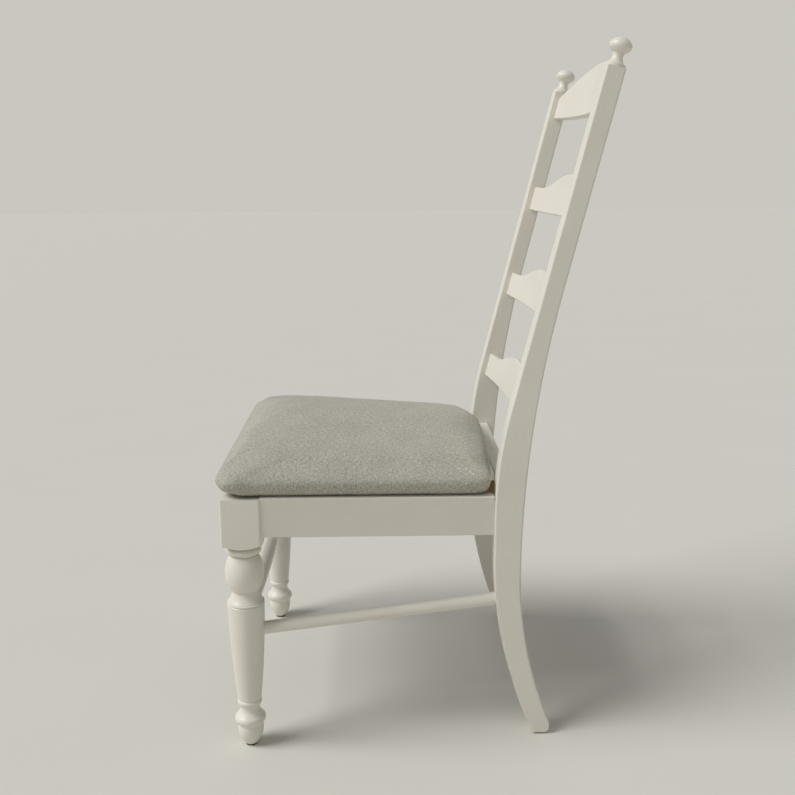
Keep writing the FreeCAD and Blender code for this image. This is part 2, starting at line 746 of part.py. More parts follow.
# Seat, drawn on the plane of the rails' tops
def seat_corners(front_in, side_in, rear_in, front_corner, rear_corner):
    """A seat outline, drawn in, with its corners rounded: points of the outline in order."""
    front = f"(({front_in}) - seat_front_reach)"
    rear = f"(seat_rear_reach - ({rear_in}))"
    slant = "sqrt(1 + seat_slope^2)"
    at_front = f"(seat_front_half - seat_slope * ({front} - block_half) - ({side_in}) * {slant})"
    at_rear = f"(seat_front_half - seat_slope * ({rear} - block_half) - ({side_in}) * {slant})"
    down_x, down_y = f"({front_corner}) * seat_slope / {slant}", f"({front_corner}) / {slant}"
    up_x, up_y = f"({rear_corner}) * seat_slope / {slant}", f"({rear_corner}) / {slant}"
    points = [
        (f"{at_front} - ({front_corner})", front),
        (f"{at_front} - {down_x}", f"{front} + {down_y}",
         (f"{at_front} - ({front_corner} + {down_x}) * corner_fullness", f"{front} + ({down_y}) * corner_fullness")),
        (f"{at_rear} + {up_x}", f"{rear} - {up_y}"),
        (f"{at_rear} - ({rear_corner})", rear,
         (f"{at_rear} - (({rear_corner}) - {up_x}) * corner_fullness", f"{rear} - ({up_y}) * corner_fullness")),
    ]
    bowed = f"rear_rail_reach - seat_rear_gap - ({rear_in})"
    other = [(f"-({x})", y) for x, y, *bend in reversed(points)]
    other[0] += (("0", bowed),)
    (x1, y1), (x2, y2) = points[3][2], points[1][2]
    other[1] += ((f"-({x1})", y1),)
    other[3] += ((f"-({x2})", y2),)
    return points + other


def seat_form(label, thick):
    """The cushion's form, or the form inside a cover of the given thickness."""
    form = new_body(label)
    top = SEAT_LEVELS[-1][0]
    sketches = []
    for rise, front_in, side_in, rear_in, front_corner, rear_corner in SEAT_LEVELS:
        corners = seat_corners(f"{front_in} + {thick}", f"{side_in} + {thick}",
                               f"{rear_in} + {thick}", front_corner, rear_corner)
        height = f"{thick} + {rise} * (1 - 2 * {thick} / {top})"
        sketches.append(outline(form, "XY_Plane", corners, height))
    loft = form.newObject("PartDesign::AdditiveLoft", label + "_loft")
    loft.Profile = sketches[0]
    loft.Sections = sketches[1:]
    doc.recompute()
    place(form, "0", "front_leg_y", "seat_height", RAKE)
    return form


def seat_plate(label, inset, low, thick):
    """A flat piece of the seat's outline, drawn in, from a height over the rails."""
    plate = new_body(label)
    corners = seat_corners(inset, inset, inset, "seat_front_corner", "seat_rear_corner")
    pad(plate, outline(plate, "XY_Plane", corners, low), thick)
    place(plate, "0", "front_leg_y", "seat_height", RAKE)
    return plate


# Rows of staples: from one point of the outline to another, and how many
STAPLE_ROWS = ((0, -1, 6), (1, 2, 5), (3, 4, 5), (6, 5, 5))


def staples():
    """One staple beside another round the cloth's edge, crowns along the edge."""
    crown, wire, leg = value("staple_crown"), value("staple_wire"), value("staple_leg")
    depth = value("dust_cover_thick + cover_thick") + leg
    low = value("seat_lift - dust_cover_thick") - wire
    bent = Part.makeBox(crown, wire, wire + depth, Vector(-crown / 2, -wire / 2, low))
    gap = Part.makeBox(crown - 2 * wire, wire, depth, Vector(wire - crown / 2, -wire / 2, low + wire))
    bent = bent.cut(gap)
    corners = [Vector(value(x), value(y), 0) for x, y, *bend in
               seat_corners("staple_inset", "staple_inset", "staple_inset",
                            "seat_front_corner", "seat_rear_corner")]
    pieces = []
    for start, end, count in STAPLE_ROWS:
        way = corners[end] - corners[start]
        angle = math.degrees(math.atan2(way.y, way.x))
        for index in range(count):
            piece = bent.copy()
            where = corners[start] + way * ((index + 0.5) / count)
            piece.Placement = Placement(where, Rotation(Vector(0, 0, 1), angle))
            pieces.append(piece)
    row = doc.addObject("Part::Feature", "cover_staples")
    row.Label = "cover_staples"
    row.Shape = Part.makeCompound(pieces)
    place(row, "0", "front_leg_y", "seat_height", RAKE)
    return row


# Glides: a disc under each foot, on a nail
def glide(label, x, y):
    disc = bar(label + "_disc", "glide_radius", (x, y, "0"), (0, 0, 1), "0", "foot_lift")
    nail = bar(label + "_nail", "glide_pin_radius", (x, y, "foot_lift"), (0, 0, 1), "0",
               "glide_pin_length")
    return group("Part::MultiFuse", label, [disc, nail])


# The left side's pieces, with what they hold or are held by
slat_boards = slats()
finial_left = finial()
rod_left = side_stretcher()
rod_front = front_stretcher()
dowels = rail_dowels()
front_glide_left = glide("front_glide_left", "front_half", "front_leg_y")
rear_glide_left = glide("rear_glide_left", "rear_half",
                        reach("(toe_reach + heel_reach - heel_cut) / 2"))

front_screw_y = "rail_thick + rail_inset - block_half"
front_block_middle = ("seat_height - (block_half + front_block_length) * rake_slope"
                      " - corner_block_gap - corner_block_height / 2")
rear_block_middle = ("seat_height - rear_rail_reach * rake_slope"
                     " - corner_block_gap - corner_block_height / 2")
screw_a = screw("front_block_front_screw",
                ("block_inner - screw_inset", reach(front_screw_y), front_block_middle),
                (0, -1, 0), "screw_seat", "screw_bite")
screw_b = screw("front_block_side_screw",
                (rail_inner("(block_half + screw_inset)"), reach("block_half + screw_inset"),
                 front_block_middle), (1, 0, 0), "screw_seat", "screw_bite")
screw_c = screw("rear_block_rear_screw",
                ("post_inner - rear_screw_inset", reach("rear_rail_reach"), rear_block_middle),
                (0, 1, 0), "screw_seat", "screw_bite")
rear_side_reach = "(rear_face_reach - rear_side_screw_inset)"
screw_d = screw("rear_block_side_screw",
                (rail_inner(rear_side_reach), reach(rear_side_reach), rear_block_middle),
                (1, 0, 0), "screw_seat", "screw_bite")
front_block_top = f"({front_block_middle} + corner_block_height / 2)"
rear_block_top = f"({rear_block_middle} + corner_block_height / 2)"
seat_screw_y = "seat_screw_reach"
rear_seat_screw_y = "(rear_rail_reach - rear_seat_screw_reach)"
screw_e = screw("front_seat_screw",
                ("block_inner - seat_screw_inset", reach(seat_screw_y), front_block_top),
                (0, 0, 1), "screw_seat",
                f"seat_height - {seat_screw_y} * rake_slope - {front_block_top}"
                " + cover_thick + seat_screw_bite")
screw_f = screw("rear_seat_screw",
                ("post_inner - rear_seat_screw_inset", reach(rear_seat_screw_y), rear_block_top),
                (0, 0, 1), "screw_seat",
                f"seat_height - {rear_seat_screw_y} * rake_slope - {rear_block_top}"
                " + cover_thick + seat_screw_bite")

block_screws = [screw_a[0], screw_b[0], screw_c[0], screw_d[0]]
group("Part::Compound", "corner_block_screws", with_mirrors(block_screws))
seat_screws = group("Part::Compound", "seat_screws", with_mirrors([screw_e[0], screw_f[0]]))
group("Part::Compound", "front_rail_dowels", with_mirrors(dowels["front"][0]))
group("Part::Compound", "side_rail_dowels",
      with_mirrors(dowels["side_front"][0] + dowels["side_rear"][0]))
group("Part::Compound", "rear_rail_dowels", with_mirrors(dowels["rear"][0]))

cut("front_leg_left", front_leg_blank(),
    dowels["front"][1] + dowels["side_front"][1] + [rod_left, rod_front, front_glide_left])
cut("rear_leg_left", rear_leg_blank(),
    dowels["rear"][1] + dowels["side_rear"][1] + slat_boards + [rod_left, finial_left, rear_glide_left])
cut("side_rail_left", side_rail_blank(),
    dowels["side_front"][1] + dowels["side_rear"][1] + [screw_b[0], screw_d[0]])
cut("corner_block_front_left", front_block_blank(), [*screw_a, *screw_b, *screw_e])
cut("corner_block_rear_left", rear_block_blank(), [*screw_c, *screw_d, *screw_f])
cut("front_rail", front_rail_blank(), with_mirrors(dowels["front"][1] + [screw_a[0]]))
cut("rear_rail", rear_rail_blank(), with_mirrors(dowels["rear"][1] + [screw_c[0]]))

# Seat: a board, foam over it, the fabric round both and a thin cloth under them
staple_row = staples()
board_low = "seat_lift + cover_thick"
inside = seat_form("seat_inside", "cover_thick")
board = seat_plate("seat_board_blank", "board_inset", board_low, "board_thick")
open_middle = seat_plate("seat_cover_opening", "(cover_return + board_inset)", "-cover_thick",
                         f"{board_low} + cover_thick")
under = seat_plate("dust_cover_blank", "dust_cover_inset", "seat_lift - dust_cover_thick",
                   "dust_cover_thick")
cut("seat_board", board, [seat_screws, staple_row])
cut("seat_foam", inside, [board])
cut("seat_cover", seat_form("seat_outside", "0"), [inside, open_middle, seat_screws, staple_row])
cut("dust_cover", under, [seat_screws, staple_row])

# Right side
for label in ("front_leg", "rear_leg", "finial", "side_rail", "side_stretcher", "front_glide",
              "rear_glide", "corner_block_front", "corner_block_rear"):
    mirrored(label + "_right", doc.getObjectsByLabel(label + "_left")[0])

NODES = [
    "front_leg_left", "front_leg_right", "rear_leg_left", "rear_leg_right",
    "finial_left", "finial_right", "crest_slat", "upper_slat", "middle_slat", "lower_slat",
    "front_rail", "rear_rail", "side_rail_left", "side_rail_right",
    "side_stretcher_left", "side_stretcher_right", "front_stretcher",
    "corner_block_front_left", "corner_block_front_right",
    "corner_block_rear_left", "corner_block_rear_right",
    "corner_block_screws", "seat_screws",
    "front_rail_dowels", "side_rail_dowels", "rear_rail_dowels",
    "seat_board", "seat_foam", "seat_cover", "dust_cover", "cover_staples",
    "front_glide_left", "front_glide_right", "rear_glide_left", "rear_glide_right",
]

# Nothing is written unless every step worked
doc.recompute()
for thing in doc.Objects:
    if "Invalid" in thing.State or "Error" in thing.State:
        raise RuntimeError(f"{thing.Label}: {thing.State}")
for node in NODES:
    shape = doc.getObjectsByLabel(node)[0].Shape
    if shape.isNull() or not shape.isValid():
        raise RuntimeError(node + ": its shape isn't valid")
for node in NODES:
    shape = doc.getObjectsByLabel(node)[0].Shape
    shape.exportStep(f"parts/{node}.step")
    print(node, len(shape.Solids), "solids,", round(shape.Volume / 1000, 1), "cm3")
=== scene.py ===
import math

import bmesh
import bpy
import numpy as np
from mathutils import Matrix, Vector


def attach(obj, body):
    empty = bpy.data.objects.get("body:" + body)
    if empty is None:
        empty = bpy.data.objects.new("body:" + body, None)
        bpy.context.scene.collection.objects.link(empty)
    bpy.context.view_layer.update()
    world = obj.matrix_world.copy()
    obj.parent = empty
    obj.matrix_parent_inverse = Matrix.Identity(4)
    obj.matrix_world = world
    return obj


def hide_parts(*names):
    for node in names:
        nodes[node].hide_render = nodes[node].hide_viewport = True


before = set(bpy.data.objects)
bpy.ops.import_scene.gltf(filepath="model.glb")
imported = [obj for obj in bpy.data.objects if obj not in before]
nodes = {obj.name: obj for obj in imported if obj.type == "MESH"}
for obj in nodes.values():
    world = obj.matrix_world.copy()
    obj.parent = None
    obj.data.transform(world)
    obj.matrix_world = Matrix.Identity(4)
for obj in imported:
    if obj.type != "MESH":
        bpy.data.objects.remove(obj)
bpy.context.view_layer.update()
scene = bpy.context.scene


# Front legs: beech squares, turned below the seat frame into a bead, a ball, a disc and a long
# tapered shaft on a collared foot, then primed and sprayed. The rails are dowelled to them.
MM = 0.001


def linear(hex_colour):
    """An sRGB hex colour as the linear colour that a shader takes."""
    channels = [int(hex_colour[start : start + 2], 16) / 255 for start in (1, 3, 5)]
    return [c / 12.92 if c <= 0.04045 else ((c + 0.055) / 1.055) ** 2.4 for c in channels] + [1]


def add(tree, kind, inputs=(), **settings):
    """Adds a node. An input is given a plain value, or another node's output."""
    node = tree.nodes.new(kind)
    for name, setting in settings.items():
        setattr(node, name, setting)
    for socket, value in dict(inputs).items():
        if isinstance(value, bpy.types.NodeSocket):
            tree.links.new(value, node.inputs[socket])
        else:
            node.inputs[socket].default_value = value
    return node


def new_material(name):
    """A material with only its output in it, and its tree."""
    made = bpy.data.materials.new(name)
    made.use_nodes = True
    made.node_tree.nodes.clear()
    return made, made.node_tree


def finish_material(tree, shader):
    add(tree, "ShaderNodeOutputMaterial", {"Surface": shader.outputs[0]})


def dress(material, *names):
    """Gives CAD nodes a material in the slots they have."""
    for name in names:
        mesh = nodes[name].data
        if not mesh.materials:
            mesh.materials.append(material)
        for slot in range(len(mesh.materials)):
            mesh.materials[slot] = material


# A Mix node's colours share their sockets' names with its numbers, so they are given by place.
COLOUR_A, COLOUR_B, MIXED_COLOUR = 6, 7, 2


def satin_paint(name, along):
    """Sprayed satin lacquer over a primer: an almost even warm white. The wood's pores lift it in
    faint lines along the grain, and the spray leaves a soft orange peel, so highlights waver."""
    grain_width, grain_length = 2.4 * MM, 70 * MM
    peel_size, cloud_size = 5 * MM, 90 * MM
    made, tree = new_material(name)
    place = add(tree, "ShaderNodeTexCoord").outputs["Object"]
    stretch = [1 / grain_width] * 3
    stretch[along] = 1 / grain_length
    grained = add(tree, "ShaderNodeMapping", {"Vector": place, "Scale": stretch})
    grain = add(tree, "ShaderNodeTexNoise", {
        "Vector": grained.outputs[0], "Scale": 1, "Detail": 4, "Roughness": 0.6})
    peel = add(tree, "ShaderNodeTexNoise", {
        "Vector": place, "Scale": 1 / peel_size, "Detail": 1, "Roughness": 0.4})
    cloud = add(tree, "ShaderNodeTexNoise", {
        "Vector": place, "Scale": 1 / cloud_size, "Detail": 3, "Roughness": 0.55})
    tone = add(tree, "ShaderNodeMapRange", {
        "Value": cloud.outputs[0], "From Min": 0.3, "From Max": 0.7, "To Min": 0, "To Max": 1})
    body = add(tree, "ShaderNodeMix", {
        "Factor": tone.outputs[0], COLOUR_A: linear("#E2DDD1"), COLOUR_B: linear("#E6E2D7")},
        data_type="RGBA")
    pores = add(tree, "ShaderNodeMapRange", {
        "Value": grain.outputs[0], "From Min": 0.28, "From Max": 0.5, "To Min": 0.22, "To Max": 0})
    colour = add(tree, "ShaderNodeMix", {
        "Factor": pores.outputs[0], COLOUR_A: body.outputs[MIXED_COLOUR],
        COLOUR_B: linear("#DAD4C7")}, data_type="RGBA")
    sheen = add(tree, "ShaderNodeMapRange", {
        "Value": peel.outputs[0], "From Min": 0.3, "From Max": 0.7, "To Min": 0.33, "To Max": 0.43})
    lifted = add(tree, "ShaderNodeBump", {
        "Height": grain.outputs[0], "Strength": 0.16, "Distance": 0.12 * MM})
    waved = add(tree, "ShaderNodeBump", {
        "Height": peel.outputs[0], "Strength": 0.2, "Distance": 0.25 * MM,
        "Normal": lifted.outputs[0]})
    shader = add(tree, "ShaderNodeBsdfPrincipled", {
        "Base Color": colour.outputs[MIXED_COLOUR], "Roughness": sheen.outputs[0],
        "Normal": waved.outputs[0], "IOR": 1.5})
    finish_material(tree, shader)
    return made


upright_paint = satin_paint("satin_paint_on_beech_upright", 2)
dress(upright_paint, "front_leg_left", "front_leg_right")


# Back posts: each is one beech board, sawn to a bent outline that leans back above the seat and
# sweeps back below it, with its edges eased. A turned finial stands in each top on its own pin.
dress(upright_paint, "rear_leg_left", "rear_leg_right", "finial_left", "finial_right")


# Slats: four bowed beech boards, tenoned into the posts. The crest is one low arch, and the
# three below it have a hump between two shoulders.
across_paint = satin_paint("satin_paint_on_beech_across", 0)
dress(across_paint, "crest_slat", "upper_slat", "middle_slat", "lower_slat")


# Seat rails and stretchers: plain boards dowelled between the legs under the seat, two straight
# dowel stretchers at the sides, and a swelled one between the front legs, glued in blind holes.
lengthwise_paint = satin_paint("satin_paint_on_beech_lengthwise", 1)
dress(across_paint, "front_rail", "rear_rail", "front_stretcher")
dress(lengthwise_paint, "side_rail_left", "side_rail_right",
      "side_stretcher_left", "side_stretcher_right")


# Corner blocks and dowels: bare beech, sawn and left without finish, because they are under the
# seat and inside the joints. The blocks are screwed to the rails.
def bare_wood(name, light, dark, along, ring_width, pore_width):
    """Sawn wood with no finish: matt, with bands of growth rings and fine dark pores."""
    made, tree = new_material(name)
    place = add(tree, "ShaderNodeTexCoord").outputs["Object"]
    stretch = [1 / ring_width] * 3
    stretch[along] = 0.05 / ring_width
    banded = add(tree, "ShaderNodeMapping", {"Vector": place, "Scale": stretch})
    rings = add(tree, "ShaderNodeTexNoise", {
        "Vector": banded.outputs[0], "Scale": 1, "Detail": 2, "Distortion": 0.6})
    fine = [1 / pore_width] * 3
    fine[along] = 0.08 / pore_width
    pored = add(tree, "ShaderNodeMapping", {"Vector": place, "Scale": fine})
    pores = add(tree, "ShaderNodeTexNoise", {"Vector": pored.outputs[0], "Scale": 1, "Detail": 3})
    mixed = add(tree, "ShaderNodeMath", {0: rings.outputs[0], 1: pores.outputs[0]}, operation="MULTIPLY")
    ramp = add(tree, "ShaderNodeValToRGB", {"Fac": mixed.outputs[0]})
    ramp.color_ramp.elements[0].position = 0.14
    ramp.color_ramp.elements[0].color = linear(dark)
    ramp.color_ramp.elements[1].position = 0.38
    ramp.color_ramp.elements[1].color = linear(light)
    rough = add(tree, "ShaderNodeMapRange", {
        "Value": pores.outputs[0], "To Min": 0.62, "To Max": 0.85})
    sawn = add(tree, "ShaderNodeBump", {
        "Height": pores.outputs[0], "Strength": 0.4, "Distance": 0.2 * MM})
    shader = add(tree, "ShaderNodeBsdfPrincipled", {
        "Base Color": ramp.outputs[0], "Roughness": rough.outputs[0],
        "Normal": sawn.outputs[0], "IOR": 1.5})
    finish_material(tree, shader)
    return made


beech = bare_wood("bare_sawn_beech", "#D3B48A", "#A97F52", 0, 5 * MM, 0.9 * MM)
dress(beech, "corner_block_front_left", "corner_block_front_right",
      "corner_block_rear_left", "corner_block_rear_right",
      "front_rail_dowels", "side_rail_dowels", "rear_rail_dowels")


# Screws: zinc-plated steel, two through each corner block into the rails and one up into the
# seat board.
def bright_zinc(name, light, dark, smooth, rough):
    """Zinc plate: a pale metal with cloudy blue-grey patches and a fine pitted skin."""
    patch_size, pit_size = 3 * MM, 0.35 * MM
    made, tree = new_material(name)
    place = add(tree, "ShaderNodeTexCoord").outputs["Object"]
    patches = add(tree, "ShaderNodeTexNoise", {
        "Vector": place, "Scale": 1 / patch_size, "Detail": 3})
    pits = add(tree, "ShaderNodeTexNoise", {"Vector": place, "Scale": 1 / pit_size, "Detail": 1})
    ramp = add(tree, "ShaderNodeValToRGB", {"Fac": patches.outputs[0]})
    ramp.color_ramp.elements[0].position, ramp.color_ramp.elements[1].position = 0.35, 0.65
    ramp.color_ramp.elements[0].color = linear(dark)
    ramp.color_ramp.elements[1].color = linear(light)
    worn = add(tree, "ShaderNodeMapRange", {
        "Value": patches.outputs[0], "To Min": smooth, "To Max": rough})
    pitted = add(tree, "ShaderNodeBump", {
        "Height": pits.outputs[0], "Strength": 0.15, "Distance": 0.05 * MM})
    shader = add(tree, "ShaderNodeBsdfPrincipled", {
        "Base Color": ramp.outputs[0], "Roughness": worn.outputs[0], "Metallic": 1.0,
        "Normal": pitted.outputs[0]})
    finish_material(tree, shader)
    return made


zinc = bright_zinc("zinc_plated_steel", "#C4C8CC", "#9BA1A8", 0.25, 0.45)
dress(zinc, "corner_block_screws", "seat_screws")


# Seat board and foam: a plywood board under a slab of foam that is cut to the cushion's shape.
# Both are closed in by the fabric and the dust cover.
plywood = bare_wood("unfinished_plywood", "#CDAF82", "#A9855A", 0, 14 * MM, 1.1 * MM)
dress(plywood, "seat_board")


def open_cell_foam(name):
    """Polyurethane foam: pale yellow, matt, with cells about a millimetre across, painted darker in their
    hollows as shade.
    """
    cell_size = 1.2 * MM
    made, tree = new_material(name)
    place = add(tree, "ShaderNodeTexCoord").outputs["Object"]
    cells = add(tree, "ShaderNodeTexVoronoi", {"Vector": place, "Scale": 1 / cell_size})
    # Painted shade: the ramp darkens each cell towards its middle, where the bump sinks the hole.
    ramp = add(tree, "ShaderNodeValToRGB", {"Fac": cells.outputs["Distance"]})
    ramp.color_ramp.elements[0].color = linear("#C9BC8C")
    ramp.color_ramp.elements[1].color = linear("#E9E2C4")
    holes = add(tree, "ShaderNodeBump", {
        "Height": cells.outputs["Distance"], "Strength": 0.5, "Distance": 0.4 * MM})
    shader = add(tree, "ShaderNodeBsdfPrincipled", {
        "Base Color": ramp.outputs[0], "Roughness": 0.9, "Normal": holes.outputs[0]})
    finish_material(tree, shader)
    return made


dress(open_cell_foam("open_cell_foam"), "seat_foam")


# Seat cushion: one piece of heathered grey upholstery cloth, pulled over the foam and board and
# stapled beneath, so it is tight and crowned, with a rolled lower edge and a few tucked pleats
# at the corners. There is no piping and no seam on its top.
VOXEL, CLOTH_THICK, SAME_PLACE = 5.5 * MM, 1.5 * MM, 0.01 * MM

# The seat is raked back about the front legs' line, at the rails' top. Its pieces are shaped in
# that frame, where a point's height is its rise over the rails.
SEAT_RAKE = math.radians(2.6)
SEAT_PIVOT = Vector((0, -270.3 * MM, 412 * MM))
to_seat = Matrix.Rotation(SEAT_RAKE, 4, "X") @ Matrix.Translation(-SEAT_PIVOT)


def new_object(name, data):
    made = bpy.data.objects.new(name, data)
    scene.collection.objects.link(made)
    return made


def mesh_from(form, name):
    """A finished form as a new mesh."""
    mesh = bpy.data.meshes.new(name)
    form.to_mesh(mesh)
    form.free()
    return mesh


def joined_copy(name, *sources):
    """The meshes of some CAD nodes as one new piece with its doubles merged."""
    joined = bmesh.new()
    for source in sources:
        joined.from_mesh(nodes[source].data)
    bmesh.ops.remove_doubles(joined, verts=joined.verts, dist=SAME_PLACE)
    return new_object(name, mesh_from(joined, name))


def take_shape(piece):
    """Replaces a piece's mesh by what its modifiers make of it, and removes them."""
    graph = bpy.context.evaluated_depsgraph_get()
    shaped = bpy.data.meshes.new_from_object(piece.evaluated_get(graph))
    piece.modifiers.clear()
    old, piece.data = piece.data, shaped
    bpy.data.meshes.remove(old)


def points_of(mesh):
    flat = np.empty(len(mesh.vertices) * 3)
    mesh.vertices.foreach_get("co", flat)
    return flat.reshape(-1, 3)


def facings_of(mesh):
    flat = np.empty(len(mesh.vertices) * 3)
    mesh.vertices.foreach_get("normal", flat)
    return flat.reshape(-1, 3)


def put_points(mesh, points):
    mesh.vertices.foreach_set("co", points.ravel())
    mesh.update()


def in_frame(matrix, points):
    turned = np.array(matrix.to_3x3())
    return points @ turned.T + np.array(matrix.translation)


cushion = joined_copy("seat_cushion", "seat_foam", "seat_board")
remesh = cushion.modifiers.new("Remesh", "REMESH")
remesh.mode, remesh.voxel_size, remesh.use_smooth_shade = "VOXEL", VOXEL, True
take_shape(cushion)

# The top is evened out more and more towards the crown, so that the foam's levels show less.
CROWN_FROM, CROWN_FULL, EVENING_ROUNDS = 24 * MM, 44 * MM, 10
rise = in_frame(to_seat, points_of(cushion.data))[:, 2]
crown_group = cushion.vertex_groups.new(name="crown")
for index in np.flatnonzero(rise > CROWN_FROM):
    share = min((rise[index] - CROWN_FROM) / (CROWN_FULL - CROWN_FROM), 1)
    crown_group.add([int(index)], share, "REPLACE")
evened = cushion.modifiers.new("Smooth", "SMOOTH")
evened.factor, evened.iterations, evened.vertex_group = 0.5, EVENING_ROUNDS, "crown"
take_shape(cushion)
put_points(cushion.data, points_of(cushion.data) + facings_of(cushion.data) * CLOTH_THICK)
before = points_of(cushion.data)

# The board keeps the underside flat, so only what lies above its edge swells.
HELD_BELOW, FREE_ABOVE, MOST_SWELL = 2.5 * MM, 9 * MM, 2.5 * MM
HALF_HELD, PRESSURE, SWELL_FRAMES, NO_LENGTH = 0.5, 4, 20, 1e-9
rise = in_frame(to_seat, before)[:, 2]
held = cushion.vertex_groups.new(name="held")
for index in np.flatnonzero(rise < FREE_ABOVE):
    held.add([int(index)], 1.0 if rise[index] < HELD_BELOW else HALF_HELD, "REPLACE")
cloth = cushion.modifiers.new("Cloth", "CLOTH")
cloth.settings.use_pressure = True
cloth.settings.uniform_pressure_force = PRESSURE
cloth.settings.effector_weights.gravity = 0
cloth.settings.vertex_group_mass = "held"
for step in range(1, SWELL_FRAMES + 1):
    scene.frame_set(step)
take_shape(cushion)
scene.frame_set(1)
moved = points_of(cushion.data) - before
length = np.linalg.norm(moved, axis=1, keepdims=True)
moved *= np.tanh(length / MOST_SWELL) * MOST_SWELL / np.maximum(length, NO_LENGTH)
moved[rise < HELD_BELOW] = 0
put_points(cushion.data, before + moved)

finer = cushion.modifiers.new("Subdivision", "SUBSURF")
finer.levels = finer.render_levels = 1
take_shape(cushion)

# Pleats: at each corner the spare cloth is tucked into a few folds that run up from the bottom
# edge and die away above the board. They spread from a centre inside the corner, given with the
# way that each one runs in degrees, and every other one is shallower.
PLEAT_TOP, PLEAT_DEPTH, PLEAT_HALF = 40 * MM, 1.9 * MM, 3.2 * MM
PLEAT_START, PLEAT_END, PLEAT_FADE = 12 * MM, 75 * MM, 1.5
PLEAT_REACH, SHALLOWER = 4, 0.25
PLEAT_CORNERS = (
    (236 * MM, -4 * MM, (-78, -55, -37, -12)),
    (212 * MM, 352 * MM, (28, 52, 71)))
points = points_of(cushion.data)
facing = facings_of(cushion.data)
flat = in_frame(to_seat, points)
fade = np.clip(1 - flat[:, 2] / PLEAT_TOP, 0, 1) ** PLEAT_FADE
sunk = np.zeros(len(points))
for side in (-1, 1):
    for corner_x, corner_y, ways in PLEAT_CORNERS:
        out_x, out_y = flat[:, 0] * side - corner_x, flat[:, 1] - corner_y
        radius = np.hypot(out_x, out_y)
        turned = np.arctan2(out_y, out_x)
        for count, way in enumerate(ways):
            off = (turned - math.radians(way)) * radius / PLEAT_HALF
            near = (np.abs(off) < PLEAT_REACH) & (radius > PLEAT_START) & (radius < PLEAT_END)
            depth = PLEAT_DEPTH * (1 - SHALLOWER * (count % 2))
            sunk += np.where(near, depth * np.exp(-off**2), 0)
points -= facing * (sunk * fade)[:, None]

# The cloth rolls in under the cushion's widest line, on its way to the staples. A face that is
# nearly level moves less.
ROLL_TOP, ROLL_IN, ROLL_CURVE, FLAT_BELOW, LEVEL_FACE = 27 * MM, 6 * MM, 1.3, 0.5 * MM, 0.3
roll = ROLL_IN * np.clip(1 - flat[:, 2] / ROLL_TOP, 0, 1) ** ROLL_CURVE * (flat[:, 2] > FLAT_BELOW)
inward = -facing * np.array([1, 1, 0])
inward /= np.maximum(np.linalg.norm(inward, axis=1, keepdims=True), LEVEL_FACE)
put_points(cushion.data, points + inward * roll[:, None])

# The threads run straight over the top and down the sides: past the crown, a point's place on
# the cloth is as far out as the cloth runs down the side. The profile is the cushion's side in
# section, from the crown down: each level's rise, and how far in it is from the widest line.
PROFILE_RISE = np.array([90, 84.5, 82, 75, 62, 46, 31, 15, 4.5, 0.7, -5]) * MM
PROFILE_IN = np.array([260, 190, 150, 115, 72, 32, 8, 0, 5, 16, 20]) * MM
steps_down, steps_in = np.diff(PROFILE_RISE), np.diff(PROFILE_IN)
extra = np.concatenate([[0], np.cumsum(np.hypot(steps_down, steps_in) + steps_in)])
extra = np.maximum(extra, 0)
points = in_frame(to_seat, points_of(cushion.data))
outward = facings_of(cushion.data)[:, :2]
outward /= np.maximum(np.linalg.norm(outward, axis=1, keepdims=True), 1e-6)
beyond = np.interp(-points[:, 2], -PROFILE_RISE, extra)
on_cloth = points[:, :2] + outward * beyond[:, None]
corner_of = np.empty(len(cushion.data.loops), np.int32)
cushion.data.loops.foreach_get("vertex_index", corner_of)
threads = cushion.data.uv_layers.new(name="threads")
threads.data.foreach_set("uv", on_cloth[corner_of].ravel())


